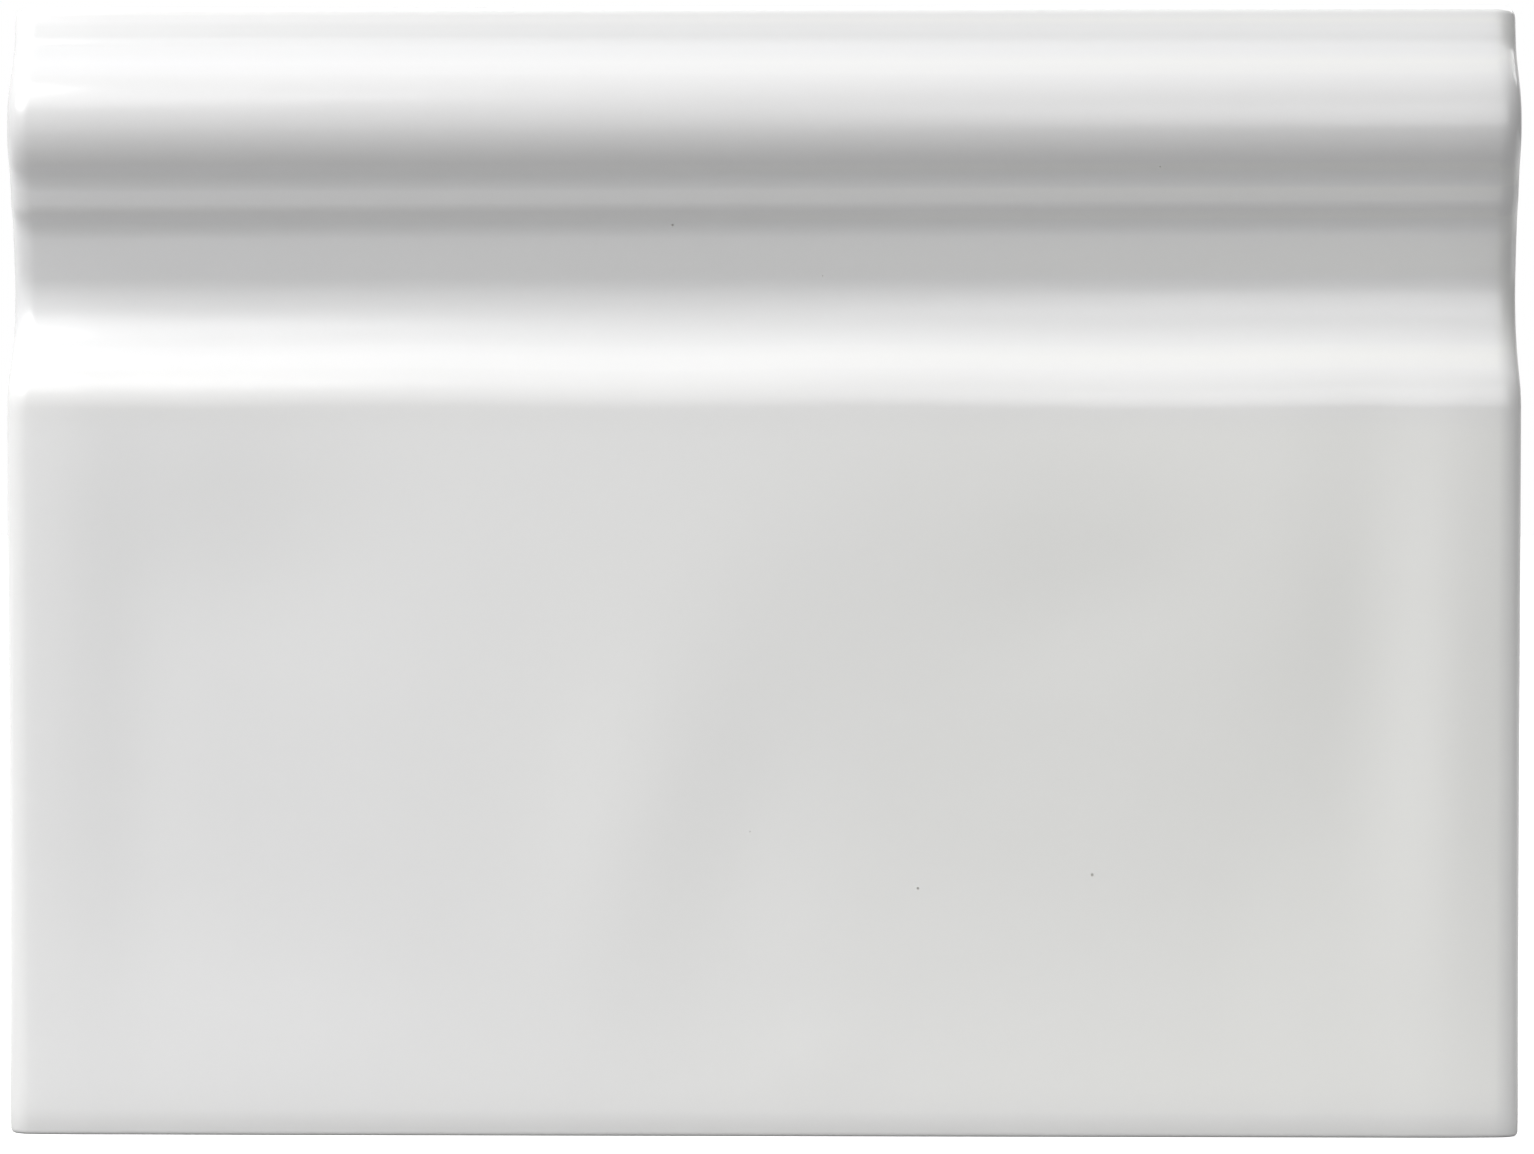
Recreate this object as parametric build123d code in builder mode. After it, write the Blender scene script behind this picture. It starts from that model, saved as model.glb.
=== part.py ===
from build123d import *
import os
from math import cos, radians, sin

# Ceramic skirting tile, pressed in one piece and glazed over its moulded face.
# Millimetres. X runs along the wall, Z is up, and the face looks along -Y.
# The origin is under the middle of the tile, halfway through its depth.

# Driving dimensions. A depth is measured from the flat back.
LENGTH = 198.0
HEIGHT = 148.0
FIELD_DEPTH = 15.5
LIP_DEPTH = 7.0

# Moulding, from the top edge down. Slopes are degrees from upright: a rising
# stretch stands further out as it goes down, and a falling one goes back.
LIP_RUN = 3.9
LIP_RISE = 14.0
SCOTIA_RADIUS = 3.6
FLANK_RUN = 4.9
FLANK_RISE = 42.0
TORUS_RADIUS = 10.4
TORUS_RUN = 0.8
TORUS_FALL = 30.0
QUIRK_RADIUS = 9.5
FILLET_RUN = 1.5
FILLET_FALL = 14.0
BROW_RADIUS = 6.0
STEP_RUN = 0.9
STEP_FALL = 29.0
LOWER_QUIRK_RADIUS = 8.0
CAVETTO_RUN = 5.0
CAVETTO_FALL = 11.0
COVE_RADIUS = 11.4
SHOULDER_RISE = 40.0
SHOULDER_RADIUS = 8.4
FOOT_RADIUS = 14.0
FOOT_FALL = 14.0

# Softened edges: a full roll down both ends, and smaller ones along top and foot
END_ROLL = 3.2
TOP_ARRIS = 1.4
FOOT_ARRIS = 0.6

# Back: long relief channels keep the pressed wall even, inside a closed rim
RIM = 10.0
CHANNEL_WIDTH = 16.0
CHANNEL_PITCH = 23.0
CHANNEL_COUNT = 4
CHANNEL_DEPTH = 5.5
TORUS_CHANNEL_Z = 132.0
TORUS_CHANNEL_WIDTH = 12.0
TORUS_CHANNEL_DEPTH = 4.0
CHANNEL_CORNER = 4.0
CHANNEL_DRAFT = 10.0
CHANNEL_FLOOR_RADIUS = 1.2
BACK_CHAMFER = 0.6

back_y = FIELD_DEPTH / 2
section_plane = Plane(origin=(0, back_y, 0), x_dir=(0, -1, 0), z_dir=(-1, 0, 0))
back_plane = Plane(origin=(0, back_y, 0), x_dir=(-1, 0, 0), z_dir=(0, 1, 0))
channel_length = LENGTH - 2 * RIM


def downward(slope):
    """Heading of a stretch drawn down the section, where a rising slope is positive."""
    return slope - 90


def on_moulded_face(edge):
    """True of an edge that outlines the face alone, not the top, the foot or the back."""
    middle = edge @ 0.5
    return FOOT_ARRIS / 2 < middle.Z < HEIGHT - FOOT_ARRIS / 2 and middle.Y < back_y - FOOT_ARRIS


# The section: each arc is tangent to the stretch above it
with BuildPart() as skirting_tile:
    with BuildSketch(section_plane) as section:
        with BuildLine() as outline:
            lip = PolarLine((LIP_DEPTH, HEIGHT), LIP_RUN, downward(LIP_RISE))
            scotia = JernArc(lip @ 1, lip % 1, SCOTIA_RADIUS, FLANK_RISE - LIP_RISE)
            flank = PolarLine(scotia @ 1, FLANK_RUN, downward(FLANK_RISE))
            torus = JernArc(flank @ 1, flank % 1, TORUS_RADIUS, -TORUS_FALL - FLANK_RISE)
            torus_foot = PolarLine(torus @ 1, TORUS_RUN, downward(-TORUS_FALL))
            quirk = JernArc(torus_foot @ 1, torus_foot % 1, QUIRK_RADIUS, TORUS_FALL - FILLET_FALL)
            fillet_band = PolarLine(quirk @ 1, FILLET_RUN, downward(-FILLET_FALL))
            brow = JernArc(fillet_band @ 1, fillet_band % 1, BROW_RADIUS, FILLET_FALL - STEP_FALL)
            step = PolarLine(brow @ 1, STEP_RUN, downward(-STEP_FALL))
            lower_quirk = JernArc(step @ 1, step % 1, LOWER_QUIRK_RADIUS, STEP_FALL - CAVETTO_FALL)
            cavetto = PolarLine(lower_quirk @ 1, CAVETTO_RUN, downward(-CAVETTO_FALL))
            cove = JernArc(cavetto @ 1, cavetto % 1, COVE_RADIUS, CAVETTO_FALL + SHOULDER_RISE)
            shoulder_depth = FIELD_DEPTH - SHOULDER_RADIUS * (1 - cos(radians(SHOULDER_RISE)))
            rise_run = (shoulder_depth - (cove @ 1).X) / sin(radians(SHOULDER_RISE))
            rise = PolarLine(cove @ 1, rise_run, downward(SHOULDER_RISE))
            shoulder = JernArc(rise @ 1, rise % 1, SHOULDER_RADIUS, -SHOULDER_RISE)
            foot_height = FOOT_RADIUS * sin(radians(FOOT_FALL))
            field = Line(shoulder @ 1, (FIELD_DEPTH, foot_height))
            foot = JernArc(field @ 1, field % 1, FOOT_RADIUS, -FOOT_FALL)
            back = Polyline(foot @ 1, (0, 0), (0, HEIGHT), lip @ 0)
        make_face()
    extrude(amount=LENGTH / 2, both=True)

    # Ends rolled over, then the sharp edges of the face taken off
    ends = skirting_tile.faces().filter_by(Axis.X)
    fillet(ends.edges().filter_by(on_moulded_face), END_ROLL)
    for upright, arris in ((Axis.Z.direction, TOP_ARRIS), (-Axis.Z.direction, FOOT_ARRIS)):
        flat = skirting_tile.faces().filter_by(Plane.XY).sort_by(Axis((0, 0, 0), upright))[-1]
        front_edges = flat.edges().filter_by(lambda edge: (edge @ 0.5).Y < back_y - arris)
        fillet(front_edges, arris)
    chamfer(skirting_tile.faces().sort_by(Axis.Y)[-1].edges(), BACK_CHAMFER)

    # Relief channels, pressed in with drafted walls
    channels = [(RIM + CHANNEL_WIDTH / 2 + CHANNEL_PITCH * row, CHANNEL_WIDTH, CHANNEL_DEPTH)
                for row in range(CHANNEL_COUNT)]
    channels.append((TORUS_CHANNEL_Z, TORUS_CHANNEL_WIDTH, TORUS_CHANNEL_DEPTH))
    for middle_z, width, depth in channels:
        with BuildSketch(back_plane) as mouth:
            with Locations((0, middle_z)):
                RectangleRounded(channel_length, width, CHANNEL_CORNER)
        extrude(amount=-depth, taper=CHANNEL_DRAFT, mode=Mode.SUBTRACT)
        floor = skirting_tile.faces(Select.LAST).filter_by(Axis.Y).sort_by(Axis.Y)[0]
        fillet(floor.edges(), CHANNEL_FLOOR_RADIUS)

skirting_tile.part.label = "skirting_tile"
os.makedirs("parts", exist_ok=True)
export_step(skirting_tile.part, "parts/skirting_tile.step")
print(f"volume {skirting_tile.part.volume / 1000:.1f} cm3, valid {skirting_tile.part.is_valid}")
print(skirting_tile.part.bounding_box())
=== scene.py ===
import math

import bmesh
import bpy
import numpy as np
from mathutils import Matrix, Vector
from mathutils.geometry import tessellate_polygon


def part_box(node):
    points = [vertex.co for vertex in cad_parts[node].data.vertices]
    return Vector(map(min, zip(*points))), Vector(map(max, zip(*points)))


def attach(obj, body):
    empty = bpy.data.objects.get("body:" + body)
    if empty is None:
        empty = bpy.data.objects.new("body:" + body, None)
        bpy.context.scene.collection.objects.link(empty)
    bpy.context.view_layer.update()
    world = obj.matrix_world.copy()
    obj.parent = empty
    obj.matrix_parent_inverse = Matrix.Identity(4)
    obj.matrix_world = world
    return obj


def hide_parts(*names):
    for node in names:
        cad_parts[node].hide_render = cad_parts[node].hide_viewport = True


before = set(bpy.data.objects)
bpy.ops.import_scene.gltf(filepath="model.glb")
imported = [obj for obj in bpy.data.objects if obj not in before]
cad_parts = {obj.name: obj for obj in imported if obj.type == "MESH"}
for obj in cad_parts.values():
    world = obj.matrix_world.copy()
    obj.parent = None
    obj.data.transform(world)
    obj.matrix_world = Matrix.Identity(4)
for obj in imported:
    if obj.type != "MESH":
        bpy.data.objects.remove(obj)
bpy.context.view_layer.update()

# Tile, in millimetres, in the frame's own axes: X along the wall, Z up, face to -Y.
# A depth is measured forwards from the flat back.
MM = 0.001
low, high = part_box("skirting_tile")
LENGTH = (high.x - low.x) / MM
HEIGHT = (high.z - low.z) / MM
FIELD_DEPTH = (high.y - low.y) / MM
BACK_Y = high.y / MM
LIP_DEPTH = 7.0
END_ROLL = 3.2
TOP_ARRIS = 1.4
FOOT_ARRIS = 0.6
BACK_CHAMFER = 0.6

# Stretches of the section from the lip down. A straight one has its run and one slope,
# an arc its radius and the slopes it turns between. Slopes are degrees from upright,
# positive where the face stands further out as it goes down.
LIP = (3.9, 14, 14)
ABOVE_RISE = (
    (3.6, 14, 42),
    (4.9, 42, 42),
    (10.4, 42, -30),
    (0.8, -30, -30),
    (9.5, -30, -14),
    (1.5, -14, -14),
    (6.0, -14, -29),
    (0.9, -29, -29),
    (8.0, -29, -11),
    (5.0, -11, -11),
    (11.4, -11, 40),
)
RISE_SLOPE = 40
SHOULDER_RADIUS = 8.4
FOOT_RADIUS = 14.0
FOOT_FALL = 14

# Spacing of the mesh's rows and columns
ARC_STEP = 0.25
LINE_STEP = 1.2
COLUMN_STEP = 1.2
ROLL_STEPS = 14
WALL_STEPS = 4
ARRIS_STEPS = 5

# Hand-finished swell of the face, each one a low mound or hollow: middle X, middle Z,
# reach along X, reach along Z, lean in degrees, rise, and how steep its edge is
SWELLS = (
    (-83.0, 54.0, 7.0, 40.0, 0.0, -0.40, 2),
    (-72.0, 56.0, 17.0, 38.0, 0.0, -0.30, 2),
    (-68.0, 76.0, 20.0, 16.0, 0.0, -0.50, 2),
    (-62.0, 12.0, 26.0, 11.0, 6.0, 0.30, 2),
    (-20.0, 38.0, 9.0, 24.0, 10.0, 0.30, 2),
    (-3.0, 38.0, 9.0, 20.0, 12.0, -0.26, 2),
    (40.0, 50.0, 40.0, 34.0, 25.0, -0.55, 4),
    (43.0, 71.0, 15.0, 9.0, -18.0, -0.20, 2),
    (70.0, 44.0, 12.0, 34.0, 14.0, -0.28, 2),
    (79.0, 58.0, 7.5, 38.0, 0.0, -0.50, 2),
    (88.0, 56.0, 6.0, 36.0, 0.0, 0.25, 2),
    (99.0, 50.0, 9.0, 60.0, 0.0, -0.60, 2),
    (7.0, 11.0, 6.0, 5.0, 0.0, 0.15, 2),
)
SWELL_TOP = 94.0
SWELL_FADE = 12.0
PILLOW_DROP = 0.45
PILLOW_WIDTH = 12.0
FOOT_PILLOW_DROP = 0.15

# Hand-set moulding: its lines climb a little to the right, and waver
CLIMB = 0.55
CLIMB_MIDDLE_Z = 121.0
CLIMB_REACH = 13.0
WAVER = 0.16
WAVER_LENGTH = 63.0
WAVER_MIDDLE_Z = 99.0
WAVER_REACH = 9.0

# Relief channels of the back: middle Z, width and depth
CHANNELS = (
    (18.0, 16.0, 5.5),
    (41.0, 16.0, 5.5),
    (64.0, 16.0, 5.5),
    (87.0, 16.0, 5.5),
    (132.0, 12.0, 4.0),
)
RIM = 10.0
CHANNEL_CORNER = 4.0
CHANNEL_DRAFT = 10.0
CHANNEL_FLOOR_RADIUS = 1.2
CORNER_STEPS = 8
DRAFT_STEPS = 2
FLOOR_TURN_STEPS = 5

# Edges sharper than this are shaded as edges, in degrees
SHARP_ANGLE = 28.0

# Material slots of the tile's mesh
FACE_SLOT, WALL_SLOT, BACK_SLOT = range(3)

# Glaze, in linear colour; sizes in millimetres
GLAZE_WHITE = (0.742, 0.742, 0.742)
GLAZE_WARM = (0.752, 0.752, 0.735)
# Painted shade: glaze darker over tight humps, the rolled ends and the edges, and in tight creases
GLAZE_SHADED_HUMPS = (0.715, 0.714, 0.710)
GLAZE_SHADED_CREASES = (0.725, 0.727, 0.725)
# Painted shade: the moulding's glaze is multiplied by this, so it is darker than the field
MOULDING_PAINTED_SHADE = (0.868, 0.868, 0.874)
# Painted shade in the swell's hollows and painted light on its mounds
HOLLOW_PAINTED_SHADE = (0.955, 0.956, 0.955)
MOUND_PAINTED_LIGHT = (1.05, 1.05, 1.05)
GLAZE_GLOSSIEST, GLAZE_DULLEST = 0.17, 0.24
GLAZE_IOR = 1.5
BEND_CURVATURE = 0.10
BEND_BLUR_ROWS = 5
HOLLOW_DEPTH = 0.8

# The glaze turns warm to the right, along a patchy line
WARM_FROM, WARM_FULL = -20.0, 120.0
WARM_PATCH_SIZE = 70.0
WARM_WANDER = 100.0

# Heights between which painted shade darkens the moulding's glaze, and between which it eases off over
# the lip
MOULDING_SHADE_FROM, MOULDING_SHADE_FULL = 97.0, 109.0
LIP_SHADE_EASE_FROM, LIP_SHADE_EASE_END = 142.5, 145.0
LIP_SHADE_SHARE = 0.45

# Fine relief of the glaze: a soft ripple and a finer peel
RIPPLE_SIZE = 8.0
RIPPLE_RANGE = (0.3, 0.7)
RIPPLE_HEIGHT = 0.035
PEEL_SIZE = 2.2
PEEL_HEIGHT = 0.010

# Where the glaze ends on the walls
GLAZE_LINE_DEPTH = 3.4
GLAZE_LINE_SOFT = 0.25
GLAZE_LINE_PATCH = 11.0
GLAZE_LINE_WANDER = 3.0
GLAZE_LINE_CRINKLE = 2.6
GLAZE_LINE_CRINKLE_WANDER = 1.0
GLAZE_THICKNESS = 0.3

# Bare clay: clouds, grain and shallow dimples
CLAY = (0.60, 0.535, 0.455)
CLAY_DARK = (0.52, 0.45, 0.37)
CLAY_ROUGHNESS = 0.88
CLAY_DETAIL = 3.0
CLOUD_SIZE = 16.0
CLOUD_RANGE = (0.35, 0.7)
GRAIN_SIZE = 0.7
GRAIN_RANGE = (0.55, 0.8)
GRAIN_SHARE = 0.5
GRAIN_HEIGHT = 0.09
DIMPLE_SIZE = 5.0
DIMPLE_HEIGHT = 0.12

# Dark specks in glaze and clay: spacing, smallest and largest radius
PINHOLES = (11.0, 0.08, 0.22)
GRIT = (3.2, 0.12, 0.3)
SPECK = (0.21, 0.185, 0.16)
SPECK_STRENGTH = 0.6
SPECK_HEIGHT = -0.12
SPECK_ROUGHNESS = 0.4
SPECK_EMPTY_SHARE = 0.45
SPECK_EDGE = (0.7, 1.1)
SMALLEST_DIVISOR = 0.0001

# Lamps on a dome, in metres: name, azimuth, elevation, size and watts of each
DOME_RADIUS = 0.9
LAMP_AIM_Z = 0.09
LAMPS = (
    ("key_left", -60, 43, (0.6, 0.65), 8.6),
    ("front_left", -30, 42, (0.42, 0.36), 1.1),
    ("front_right", 28, 20, (0.8, 0.5), 2.4),
    ("back_fill", 150, 45, (0.9, 0.7), 6.4),
)

# Floor, in metres: a pale sheet near the tile and a dark one beyond it light the tile from
# below, and the camera sees a pale floor that fades to white further out
FLOOR_HALF = 3.0
FLOOR_ROUGHNESS = 0.9
FLOOR_BOUNCE_NEAR, FLOOR_BOUNCE_FAR = 0.35, 0.02
SHEET_START, SHEET_END = 0.11, 0.13
FLOOR_SEEN = 0.5
FLOOR_GLOW = 0.75
FADE_START, FADE_END = 0.3, 0.8
FLOOR_BACK_SOFT = 0.1

# World: how bright it is on the left, how dim on the right, and how far behind the tile
# a reflection has to point to show the white backdrop
WORLD_FILL = 0.585
WORLD_FILL_RIGHT = 0.1
WORLD_RIGHT_FROM = 0.5
BACKDROP_FROM = 0.6
BACKDROP_FULL = 0.95

# Camera, fitted to the photograph: its place in metres and its angles in degrees
PHOTO_WIDTH = 1534
FOCAL_LENGTH_PIXELS = 5309.1
SENSOR_WIDTH = 36
CAMERA_PLACE = (0.0136, -0.6992, 0.0967)
CAMERA_TILT = 90 - 1.937
CAMERA_TURN = 1.071
CLIP_END = 20


def trace_section():
    """Depth, height and slope of each row of the face, from the lip down to the foot."""
    rows = []
    depth, z = LIP_DEPTH, HEIGHT

    def stretch(size, start, end):
        nonlocal depth, z
        turn = math.radians(end - start)
        length = size * abs(turn) if turn else size
        steps = max(1, round(length / (ARC_STEP if turn else LINE_STEP)))
        for step in range(steps):
            slope = math.radians(start) + turn * step / steps
            rows.append((depth, z, slope))
            middle = slope + turn / steps / 2
            depth += length / steps * math.sin(middle)
            z -= length / steps * math.cos(middle)

    stretch(*LIP)
    for each in ABOVE_RISE:
        stretch(*each)
    rise_angle = math.radians(RISE_SLOPE)
    shoulder_depth = FIELD_DEPTH - SHOULDER_RADIUS * (1 - math.cos(rise_angle))
    stretch((shoulder_depth - depth) / math.sin(rise_angle), RISE_SLOPE, RISE_SLOPE)
    stretch(SHOULDER_RADIUS, RISE_SLOPE, 0)
    stretch(z - FOOT_RADIUS * math.sin(math.radians(FOOT_FALL)), 0, 0)
    stretch(FOOT_RADIUS, 0, -FOOT_FALL)
    return np.array(rows)


def swell(x, z):
    """Rise of the uneven face over the true moulding."""
    total = np.zeros(np.broadcast(x, z).shape)
    for middle_x, middle_z, reach_x, reach_z, lean, rise, steepness in SWELLS:
        turn = math.radians(lean)
        across = (x - middle_x) * math.cos(turn) - (z - middle_z) * math.sin(turn)
        along = (x - middle_x) * math.sin(turn) + (z - middle_z) * math.cos(turn)
        reached = (across / reach_x) ** 2 + (along / reach_z) ** 2
        total = total + rise * np.exp(-(reached ** (steepness / 2)))
    fade = np.clip((SWELL_TOP + SWELL_FADE - z) / SWELL_FADE, 0, 1)
    ends = LENGTH / 2 - np.abs(x)
    pillow = PILLOW_DROP * np.clip(1 - ends / PILLOW_WIDTH, 0, 1) ** 2
    pillow = pillow + FOOT_PILLOW_DROP * np.clip(1 - z / PILLOW_WIDTH, 0, 1) ** 2
    return total * fade * fade * (3 - 2 * fade) - pillow


def drift(x, z):
    """How far the moulding's lines wander up or down at a place along the tile."""
    climb = CLIMB * x / LENGTH * np.exp(-((z - CLIMB_MIDDLE_Z) / CLIMB_REACH) ** 2)
    waver = WAVER * np.sin(x / WAVER_LENGTH * 2 * math.pi)
    return climb + waver * np.exp(-((z - WAVER_MIDDLE_Z) / WAVER_REACH) ** 2)


def face_grid():
    """Points of the face, its rolled ends and the end walls, the outward directions and the swell."""
    section = trace_section()
    section = section[(section[:, 1] < HEIGHT - TOP_ARRIS) & (section[:, 1] > FOOT_ARRIS)]
    depth, z, slope = (section[:, i][:, None] for i in range(3))
    out_depth, out_z = np.cos(slope), np.sin(slope)
    flat_columns = round((LENGTH - 2 * END_ROLL) / COLUMN_STEP)
    flat_share = np.linspace(-1, 1, flat_columns + 1)
    roll = np.linspace(0, math.pi / 2, ROLL_STEPS + 1)[1:]
    angles = np.concatenate([-roll[::-1], np.zeros(len(flat_share)), roll])[None, :]
    share = np.concatenate([-np.ones(len(roll)), flat_share, np.ones(len(roll))])[None, :]
    x = share * (LENGTH / 2 - END_ROLL) + END_ROLL * np.sin(angles)
    lift = swell(x, z) * np.cos(angles) ** 2
    drop = END_ROLL * (1 - np.cos(angles))
    points = np.stack(np.broadcast_arrays(
        x,
        depth - out_depth * drop + lift,
        z - out_z * drop + drift(x, z),
    ), -1)
    normals = np.stack(np.broadcast_arrays(
        np.sin(angles), np.cos(angles) * out_depth, np.cos(angles) * out_z
    ), -1)
    walls = []
    for end in (0, -1):
        share = np.linspace(0, 1, WALL_STEPS + 1)[1:][None, :, None]
        edge = points[:, end][:, None, :]
        back = edge.copy()
        back[..., 1] = BACK_CHAMFER
        wall = edge + (back - edge) * share
        walls.append((wall, np.broadcast_to(normals[:, end][:, None, :], wall.shape)))
    left, left_out = walls[0][0][:, ::-1], walls[0][1][:, ::-1]
    right, right_out = walls[1]
    lift = np.pad(lift, ((0, 0), (WALL_STEPS, WALL_STEPS)))
    return (
        np.concatenate([left, points, right], 1),
        np.concatenate([left_out, normals, right_out], 1),
        lift,
    )


def arris_rows(points, normals, along, edge_z, side, radius):
    """Rows that carry the face round its top or foot edge: side is 1 at the top, -1 at the foot."""
    lean = np.arcsin(np.clip(normals[:, 2] * side, -1, 1))
    flat = normals.copy()
    flat[:, 2] = 0
    flat /= np.linalg.norm(flat, axis=1)[:, None]
    start_z = edge_z - side * radius * (1 - np.sin(lean))
    start = points + along * ((start_z - points[:, 2]) / along[:, 2])[:, None]
    rows = []
    for step in range(ARRIS_STEPS + 1):
        angle = lean + (math.pi / 2 - lean) * step / ARRIS_STEPS
        row = start + radius * (np.cos(angle) - np.cos(lean))[:, None] * flat
        row[:, 2] = start_z + side * radius * (np.sin(angle) - np.sin(lean))
        rows.append(row)
    return rows


def rounded_outline(middle_z, length, width, corner):
    """Points round a rounded rectangle in the back's plane, as x and z."""
    outline = []
    for quarter in range(4):
        side_x = 1 if quarter in (0, 3) else -1
        side_z = 1 if quarter in (0, 1) else -1
        for step in range(CORNER_STEPS + 1):
            angle = (quarter + step / CORNER_STEPS) * math.pi / 2
            outline.append((
                side_x * (length / 2 - corner) + corner * math.cos(angle),
                middle_z + side_z * (width / 2 - corner) + corner * math.sin(angle),
            ))
    return outline


def channel_loops(middle_z, width, depth):
    """Outlines of one relief channel from its mouth in to its floor, each with its depth."""
    draft = math.tan(math.radians(CHANNEL_DRAFT))
    length = LENGTH - 2 * RIM
    loops = []
    wall_depth = depth - CHANNEL_FLOOR_RADIUS
    for step in range(DRAFT_STEPS + 1):
        at = wall_depth * step / DRAFT_STEPS
        loops.append((at, at * draft))
    turn = math.pi / 2 - math.radians(CHANNEL_DRAFT)
    for step in range(1, FLOOR_TURN_STEPS + 1):
        angle = turn * step / FLOOR_TURN_STEPS
        inset = wall_depth * draft + CHANNEL_FLOOR_RADIUS * (1 - math.cos(angle))
        loops.append((wall_depth + CHANNEL_FLOOR_RADIUS * math.sin(angle), inset))
    return [
        (at, rounded_outline(middle_z, length - 2 * inset, width - 2 * inset, CHANNEL_CORNER - inset))
        for at, inset in loops
    ]


def bend_of(points, normals):
    """How rounded the face is at each point: -1 on tight humps, 1 in tight hollows, 0 where flat."""
    middle = points.shape[1] // 2
    slope = np.arcsin(np.clip(normals[:, middle, 2], -1, 1))
    path = np.linalg.norm(np.diff(points[:, middle], axis=0), axis=1)
    turn = np.gradient(slope, np.concatenate([[0], np.cumsum(path)]))
    kernel = np.ones(BEND_BLUR_ROWS) / BEND_BLUR_ROWS
    along_section = np.clip(np.convolve(turn, kernel, mode="same") / BEND_CURVATURE, -1, 1)[:, None]
    rolled = -np.sqrt(np.abs(normals[..., 0]))
    return np.clip(along_section + rolled, -1, 1)


def edged_grid():
    """The face carried round its top and foot edges: points, bend and swell of each."""
    points, normals, lift = face_grid()
    lip_slope = math.radians(LIP[1])
    lip_along = np.array([0, -math.sin(lip_slope), math.cos(lip_slope)])
    foot_slope = math.asin(-normals[-1, normals.shape[1] // 2, 2])
    foot_along = np.array([0, math.sin(foot_slope), math.cos(foot_slope)])
    along = [np.broadcast_to(each, points[0].shape) for each in (lip_along, foot_along)]
    top = arris_rows(points[0], normals[0], along[0], HEIGHT, 1, TOP_ARRIS)
    foot = arris_rows(points[-1], normals[-1], along[1], 0, -1, FOOT_ARRIS)
    for row in (*top, *foot):
        row[0, 1] = row[-1, 1] = BACK_CHAMFER
    added = ((len(top), len(foot)), (0, 0))
    bends = np.pad(bend_of(points, normals), added, constant_values=-1)
    return np.array([*top[::-1], *points, *foot]), bends, np.pad(lift, added)


def new_vert(bm, x, depth, z):
    """A vertex at a place in millimetres, with its depth measured from the back."""
    return bm.verts.new((x * MM, (BACK_Y - depth) * MM, z * MM))


def make_face(bm):
    """The face, both end walls, the top and the foot. Gives the rows of vertices."""
    grid, bends, lift = edged_grid()
    bend_layer = bm.verts.layers.float.new("bend")
    lift_layer = bm.verts.layers.float.new("lift")
    rows = [[new_vert(bm, *point) for point in row] for row in grid]
    for row, row_bends, row_lift in zip(rows, bends, lift):
        for vert, bend, rise in zip(row, row_bends, row_lift):
            vert[bend_layer] = bend
            vert[lift_layer] = rise
    last = len(rows[0]) - 1
    for upper, lower in zip(rows, rows[1:]):
        for column in range(last):
            face = bm.faces.new((upper[column], lower[column], lower[column + 1], upper[column + 1]))
            on_wall = column < WALL_STEPS or column >= last - WALL_STEPS
            face.material_index = WALL_SLOT if on_wall else FACE_SLOT
    for rim_row in (rows[0], rows[-1][::-1]):
        bm.faces.new(rim_row).material_index = WALL_SLOT
    return rows


def bridge(bm, outer, inner):
    """Faces between two closed rings with as many vertices."""
    for i in range(len(outer)):
        j = (i + 1) % len(outer)
        bm.faces.new((outer[i], outer[j], inner[j], inner[i]))


def make_back(bm, rim):
    """Chamfer inside the rim, then the flat back with its channels."""
    shrink_x = 1 - 2 * BACK_CHAMFER / LENGTH
    shrink_z = 1 - 2 * BACK_CHAMFER / HEIGHT
    middle_z = HEIGHT / 2
    inner = [
        new_vert(bm, v.co.x / MM * shrink_x, 0, middle_z + (v.co.z / MM - middle_z) * shrink_z)
        for v in rim
    ]
    bridge(bm, rim, inner)
    outlines = [inner]
    for channel in CHANNELS:
        loops = [[new_vert(bm, x, depth, z) for x, z in loop] for depth, loop in channel_loops(*channel)]
        outlines.append(loops[0])
        for outer, deeper in zip(loops, loops[1:]):
            bridge(bm, outer, deeper)
        bm.faces.new(loops[-1])
    flat_verts = [v for outline in outlines for v in outline]
    flat_outlines = [[Vector((v.co.x, v.co.z, 0)) for v in outline] for outline in outlines]
    for triangle in tessellate_polygon(flat_outlines):
        bm.faces.new([flat_verts[i] for i in triangle])


def make_tile():
    """The whole tile as one closed mesh: face, rolled ends, edges and relieved back."""
    bm = bmesh.new()
    rows = make_face(bm)
    face_count = len(bm.faces)
    make_back(bm, [row[0] for row in rows] + [row[-1] for row in reversed(rows)])
    bm.faces.ensure_lookup_table()
    for face in bm.faces[face_count:]:
        face.material_index = BACK_SLOT
    bmesh.ops.recalc_face_normals(bm, faces=bm.faces)
    for face in bm.faces:
        face.smooth = True
    mesh = bpy.data.meshes.new("skirting_tile_glazed")
    bm.to_mesh(mesh)
    bm.free()
    tile = bpy.data.objects.new("glazed_tile", mesh)
    bpy.context.collection.objects.link(tile)
    mesh.set_sharp_from_angle(angle=math.radians(SHARP_ANGLE))
    return tile


def add_node(tree, kind, inputs, **settings):
    """Adds a node. Each input, by name or number, is a socket to link from or a plain value."""
    node = tree.nodes.new(kind)
    for name, value in settings.items():
        setattr(node, name, value)
    for name, value in inputs.items():
        if isinstance(value, bpy.types.NodeSocket):
            tree.links.new(value, node.inputs[name])
        else:
            node.inputs[name].default_value = value
    return node


def principled(name):
    """A new material, its node tree and its shader node."""
    material = bpy.data.materials.new(name)
    material.use_nodes = True
    tree = material.node_tree
    return material, tree, tree.nodes["Principled BSDF"]


def place_of(tree):
    """The place on the tile, in metres."""
    return add_node(tree, "ShaderNodeTexCoord", {}).outputs["Object"]


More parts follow.
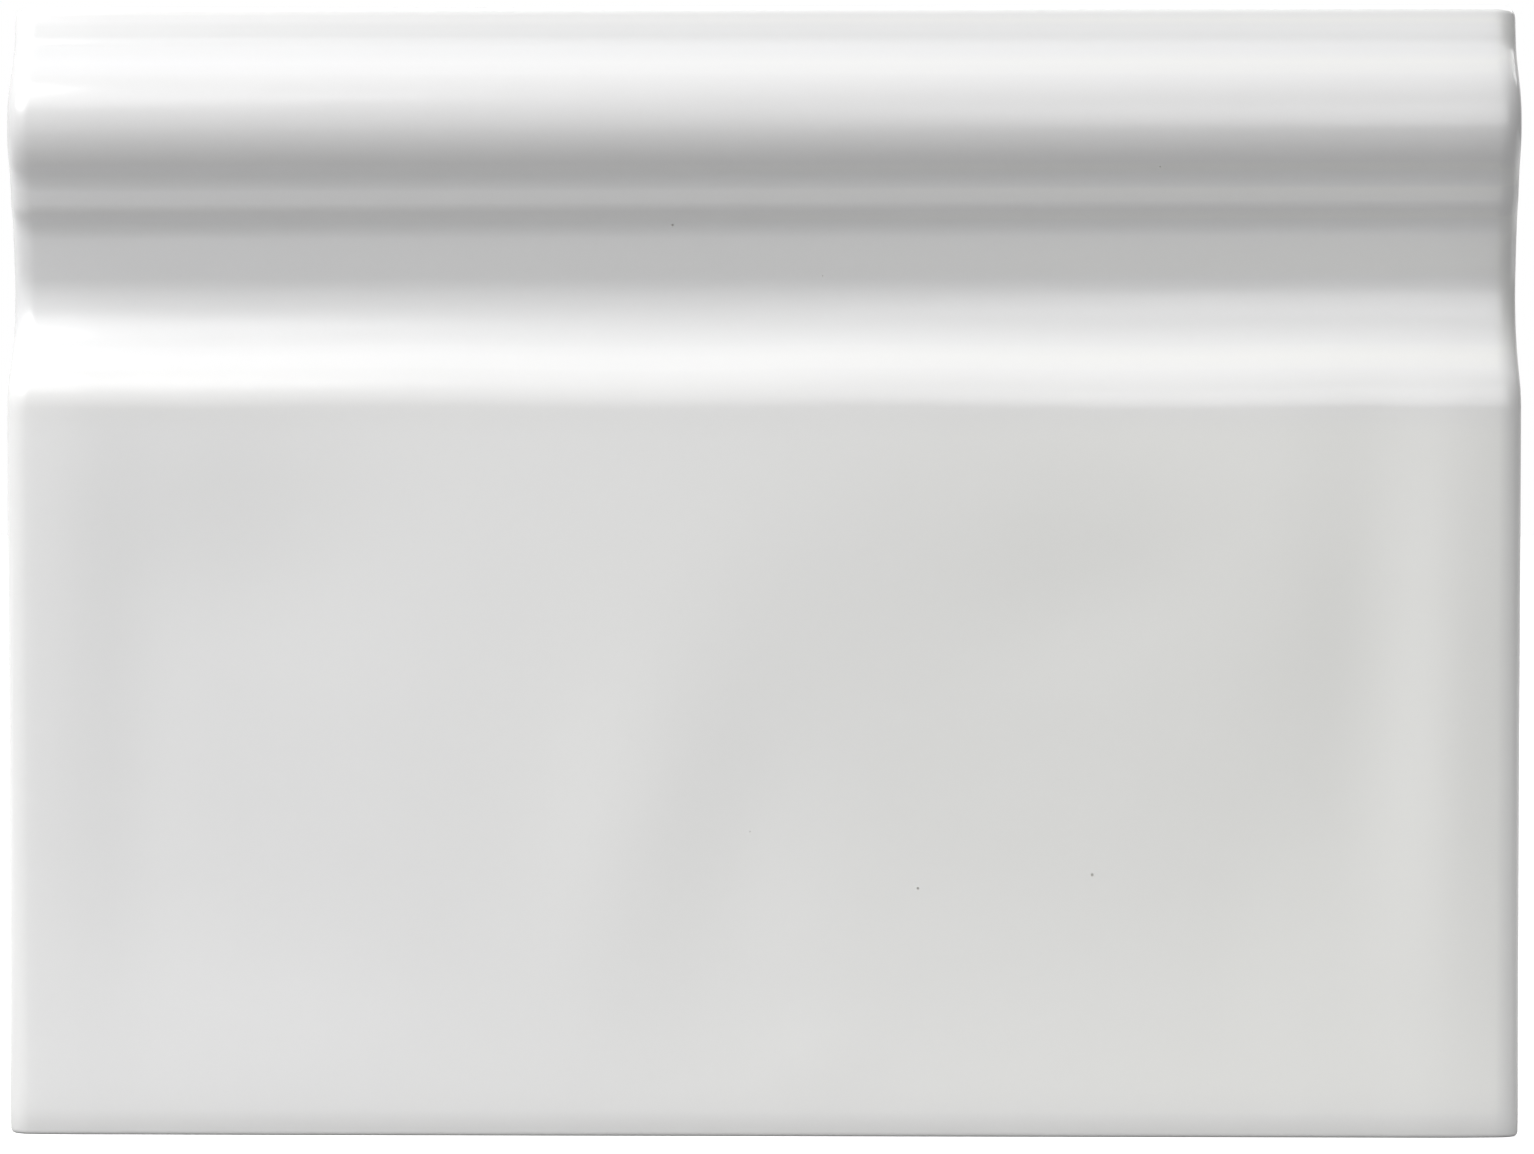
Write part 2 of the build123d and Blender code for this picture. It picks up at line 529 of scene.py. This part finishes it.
def noise(tree, place, size, detail=2.0):
    """Even noise from 0 to 1 with patches of about the given size in millimetres."""
    inputs = {"Vector": place, "Scale": 1 / (size * MM), "Detail": detail}
    return add_node(tree, "ShaderNodeTexNoise", inputs).outputs[0]


def maths(tree, operation, *values):
    """One Math node."""
    return add_node(tree, "ShaderNodeMath", dict(enumerate(values)), operation=operation).outputs[0]


def ramp(tree, value, start, end, at_start=0.0, at_end=1.0):
    """Straight clamped ramp between two values."""
    inputs = {"Value": value, "From Min": start, "From Max": end, "To Min": at_start, "To Max": at_end}
    return add_node(tree, "ShaderNodeMapRange", inputs, clamp=True).outputs[0]


def blend(tree, share, first, second):
    """Mix of two colours, each a socket or three numbers."""
    first, second = (c if isinstance(c, bpy.types.NodeSocket) else (*c, 1) for c in (first, second))
    return add_node(tree, "ShaderNodeMix", {0: share, 6: first, 7: second}, data_type="RGBA").outputs[2]


def tint(tree, share, colour, by):
    """A colour multiplied by three numbers, as far as the share says."""
    inputs = {0: share, 6: colour, 7: (*by, 1)}
    return add_node(tree, "ShaderNodeMix", inputs, data_type="RGBA", blend_type="MULTIPLY").outputs[2]


def bump(tree, height):
    """Bump from a height in millimetres."""
    inputs = {"Height": height, "Distance": MM, "Strength": 1.0}
    return add_node(tree, "ShaderNodeBump", inputs).outputs["Normal"]


def specks(tree, place, spacing, smallest, largest):
    """Sparse round spots: 1 inside a spot. Sizes are radii in millimetres; some cells stay empty."""
    cells = add_node(tree, "ShaderNodeTexVoronoi", {"Vector": place, "Scale": 1 / (spacing * MM)})
    luck = add_node(tree, "ShaderNodeSeparateColor", {"Color": cells.outputs["Color"]}).outputs["Red"]
    radius = ramp(tree, luck, SPECK_EMPTY_SHARE, 1.0, 0.0, largest / spacing)
    drawn = maths(tree, "GREATER_THAN", radius, smallest / spacing)
    divisor = maths(tree, "MAXIMUM", radius, SMALLEST_DIVISOR)
    edge = maths(tree, "DIVIDE", cells.outputs["Distance"], divisor)
    return maths(tree, "MULTIPLY", ramp(tree, edge, *SPECK_EDGE, 1.0, 0.0), drawn)


def clay_surface(tree, place):
    """Colour and height of the bare fired clay."""
    cloud = noise(tree, place, CLOUD_SIZE, CLAY_DETAIL)
    grain = noise(tree, place, GRAIN_SIZE, CLAY_DETAIL)
    colour = blend(tree, ramp(tree, cloud, *CLOUD_RANGE), CLAY, CLAY_DARK)
    colour = blend(tree, ramp(tree, grain, *GRAIN_RANGE, 0.0, GRAIN_SHARE), colour, CLAY_DARK)
    grit = specks(tree, place, *GRIT)
    colour = blend(tree, maths(tree, "MULTIPLY", grit, SPECK_STRENGTH), colour, SPECK)
    height = maths(tree, "MULTIPLY", grain, GRAIN_HEIGHT)
    height = maths(tree, "MULTIPLY_ADD", noise(tree, place, DIMPLE_SIZE), DIMPLE_HEIGHT, height)
    return colour, maths(tree, "MULTIPLY_ADD", grit, SPECK_HEIGHT, height)


def clay_material():
    """Bare fired clay of the back."""
    material, tree, shader = principled("bare_clay")
    colour, height = clay_surface(tree, place_of(tree))
    tree.links.new(colour, shader.inputs["Base Color"])
    tree.links.new(bump(tree, height), shader.inputs["Normal"])
    shader.inputs["Roughness"].default_value = CLAY_ROUGHNESS
    return material


def glaze_surface(tree, place):
    """Colour, roughness and height of the glaze."""
    bend = add_node(tree, "ShaderNodeAttribute", {}, attribute_name="bend").outputs["Fac"]
    lift = add_node(tree, "ShaderNodeAttribute", {}, attribute_name="lift").outputs["Fac"]
    axes = add_node(tree, "ShaderNodeSeparateXYZ", {"Vector": place}).outputs
    patches = noise(tree, place, WARM_PATCH_SIZE)
    along = maths(tree, "MULTIPLY_ADD", patches, WARM_WANDER * MM, axes["X"])
    warm = ramp(tree, along, WARM_FROM * MM, WARM_FULL * MM)
    colour = blend(tree, warm, GLAZE_WHITE, GLAZE_WARM)
    # Painted shade over tight humps, rolled ends and edges, and in tight creases
    colour = blend(tree, ramp(tree, bend, 0.0, -1.0), colour, GLAZE_SHADED_HUMPS)
    colour = blend(tree, ramp(tree, bend, 0.0, 1.0), colour, GLAZE_SHADED_CREASES)
    # Painted shade in the swell's hollows, painted light on its mounds
    colour = tint(tree, ramp(tree, lift, 0.0, -HOLLOW_DEPTH), colour, HOLLOW_PAINTED_SHADE)
    colour = tint(tree, ramp(tree, lift, 0.0, HOLLOW_DEPTH), colour, MOUND_PAINTED_LIGHT)
    # Painted shade: the moulding's glaze is darkened, less so over the lip
    above = ramp(tree, axes["Z"], MOULDING_SHADE_FROM * MM, MOULDING_SHADE_FULL * MM)
    below = ramp(tree, axes["Z"], LIP_SHADE_EASE_FROM * MM, LIP_SHADE_EASE_END * MM, 1.0, LIP_SHADE_SHARE)
    colour = tint(tree, maths(tree, "MULTIPLY", above, below), colour, MOULDING_PAINTED_SHADE)
    pinholes = specks(tree, place, *PINHOLES)
    colour = blend(tree, maths(tree, "MULTIPLY", pinholes, SPECK_STRENGTH), colour, SPECK)
    ripple = noise(tree, place, RIPPLE_SIZE)
    roughness = ramp(tree, ripple, *RIPPLE_RANGE, GLAZE_GLOSSIEST, GLAZE_DULLEST)
    roughness = maths(tree, "MULTIPLY_ADD", pinholes, SPECK_ROUGHNESS, roughness)
    height = maths(tree, "MULTIPLY", noise(tree, place, PEEL_SIZE), PEEL_HEIGHT)
    height = maths(tree, "MULTIPLY_ADD", ripple, RIPPLE_HEIGHT, height)
    return colour, roughness, maths(tree, "MULTIPLY_ADD", pinholes, SPECK_HEIGHT, height)


def glaze_material():
    """Glossy white glaze of the face: painted shade over tight humps, rolled ends and edges, in tight
    creases, over the moulding and in the swell's hollows, painted light on its mounds, and a few
    pinholes.
    """
    material, tree, shader = principled("white_glaze")
    colour, roughness, height = glaze_surface(tree, place_of(tree))
    tree.links.new(colour, shader.inputs["Base Color"])
    tree.links.new(roughness, shader.inputs["Roughness"])
    tree.links.new(bump(tree, height), shader.inputs["Normal"])
    shader.inputs["IOR"].default_value = GLAZE_IOR
    return material


def wall_material():
    """The walls: glaze that has run over the edge and ends in an uneven line on the bare clay."""
    material, tree, shader = principled("glaze_line")
    place = place_of(tree)
    depth = add_node(tree, "ShaderNodeSeparateXYZ", {"Vector": place}).outputs["Y"]
    depth = maths(tree, "MULTIPLY_ADD", depth, -1 / MM, BACK_Y)
    patches = noise(tree, place, GLAZE_LINE_PATCH)
    crinkle = noise(tree, place, GLAZE_LINE_CRINKLE)
    wander = maths(tree, "MULTIPLY_ADD", patches, GLAZE_LINE_WANDER, -GLAZE_LINE_WANDER / 2)
    wander = maths(tree, "MULTIPLY_ADD", crinkle, GLAZE_LINE_CRINKLE_WANDER, wander)
    over_line = maths(tree, "ADD", depth, wander)
    bare, covered = GLAZE_LINE_DEPTH - GLAZE_LINE_SOFT, GLAZE_LINE_DEPTH + GLAZE_LINE_SOFT
    glazed = ramp(tree, over_line, bare, covered)
    colour, roughness, height = glaze_surface(tree, place)
    clay_colour, clay_height = clay_surface(tree, place)
    tree.links.new(blend(tree, glazed, clay_colour, colour), shader.inputs["Base Color"])
    fade = add_node(tree, "ShaderNodeMix", {0: glazed, 2: CLAY_ROUGHNESS, 3: roughness})
    tree.links.new(fade.outputs[0], shader.inputs["Roughness"])
    raised = maths(tree, "ADD", height, GLAZE_THICKNESS)
    relief = add_node(tree, "ShaderNodeMix", {0: glazed, 2: clay_height, 3: raised})
    tree.links.new(bump(tree, relief.outputs[0]), shader.inputs["Normal"])
    shader.inputs["IOR"].default_value = GLAZE_IOR
    return material


def dome_light(name, azimuth, elevation, size, energy):
    """A soft rectangular lamp on a dome round the tile; azimuth 0 is in front, positive to the right."""
    data = bpy.data.lights.new(name, "AREA")
    data.shape = "RECTANGLE"
    data.size, data.size_y = size
    data.energy = energy
    lamp = bpy.data.objects.new(name, data)
    bpy.context.collection.objects.link(lamp)
    side, rise = math.radians(azimuth), math.radians(elevation)
    centre = Vector((0, 0, LAMP_AIM_Z))
    out = Vector((math.sin(side) * math.cos(rise), -math.cos(side) * math.cos(rise), math.sin(rise)))
    lamp.location = centre + out * DOME_RADIUS
    lamp.rotation_euler = out.to_track_quat("Z", "Y").to_euler()


def background_share(tree, behind):
    """1 for camera and transmission rays, and for glossy rays that reach the white backdrop."""
    path = add_node(tree, "ShaderNodeLightPath", {}).outputs
    glossy = maths(tree, "MULTIPLY", path["Is Glossy Ray"], behind)
    seen = maths(tree, "MAXIMUM", path["Is Camera Ray"], glossy)
    return maths(tree, "MAXIMUM", seen, path["Is Transmission Ray"])


def make_stage():
    """A pale floor that keeps the shadow and fades to white, and a white world, dimmer on the right."""
    corners = [(x * FLOOR_HALF, y * FLOOR_HALF, 0) for x, y in ((-1, -1), (1, -1), (1, 1), (-1, 1))]
    mesh = bpy.data.meshes.new("floor")
    mesh.from_pydata(corners, [], [(0, 1, 2, 3)])
    floor = bpy.data.objects.new("floor", mesh)
    bpy.context.collection.objects.link(floor)
    material, tree, shader = principled("floor")
    place = place_of(tree)
    way_back = add_node(tree, "ShaderNodeSeparateXYZ", {0: place}).outputs["Y"]
    seen = background_share(tree, ramp(tree, way_back, 0.0, FLOOR_BACK_SOFT))
    far = add_node(tree, "ShaderNodeVectorMath", {0: place}, operation="LENGTH").outputs["Value"]
    near, beyond, pale, white = (
        [level] * 3 for level in (FLOOR_BOUNCE_NEAR, FLOOR_BOUNCE_FAR, FLOOR_SEEN, 1.0)
    )
    sheet = ramp(tree, maths(tree, "MULTIPLY", way_back, -1.0), SHEET_START, SHEET_END)
    bounce = blend(tree, sheet, near, beyond)
    tree.links.new(blend(tree, seen, bounce, pale), shader.inputs["Base Color"])
    glow = ramp(tree, far, FADE_START, FADE_END, FLOOR_GLOW, 1.0)
    tree.links.new(maths(tree, "MULTIPLY", seen, glow), shader.inputs["Emission Strength"])
    shader.inputs["Emission Color"].default_value = (*white, 1)
    shader.inputs["Roughness"].default_value = FLOOR_ROUGHNESS
    shader.inputs["Specular IOR Level"].default_value = 0.0
    mesh.materials.append(material)

    world = bpy.data.worlds.new("studio")
    bpy.context.scene.world = world
    world.use_nodes = True
    tree = world.node_tree
    background = tree.nodes["Background"]
    background.inputs["Color"].default_value = (*white, 1)
    direction = add_node(tree, "ShaderNodeTexCoord", {}).outputs["Generated"]
    axes = add_node(tree, "ShaderNodeSeparateXYZ", {0: direction}).outputs
    fill = ramp(tree, axes["X"], 0.0, WORLD_RIGHT_FROM, WORLD_FILL, WORLD_FILL_RIGHT)
    seen = background_share(tree, ramp(tree, axes["Y"], BACKDROP_FROM, BACKDROP_FULL))
    level = add_node(tree, "ShaderNodeMix", {0: seen, 2: fill, 3: 1.0}).outputs[0]
    tree.links.new(level, background.inputs["Strength"])


def make_camera():
    """A long lens, nearly square on, a little above and right of the middle."""
    data = bpy.data.cameras.new("camera")
    data.sensor_width = SENSOR_WIDTH
    data.lens = SENSOR_WIDTH * FOCAL_LENGTH_PIXELS / PHOTO_WIDTH
    data.clip_end = CLIP_END
    camera = bpy.data.objects.new("camera", data)
    bpy.context.collection.objects.link(camera)
    camera.location = CAMERA_PLACE
    camera.rotation_euler = (math.radians(CAMERA_TILT), 0, math.radians(CAMERA_TURN))
    bpy.context.scene.camera = camera


tile = make_tile()
for material in (glaze_material(), wall_material(), clay_material()):
    tile.data.materials.append(material)
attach(tile, "root")
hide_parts("skirting_tile")

make_camera()
for name, azimuth, elevation, size, energy in LAMPS:
    dome_light(name, azimuth, elevation, size, energy)
make_stage()

scene = bpy.context.scene
scene.view_settings.view_transform = "Standard"
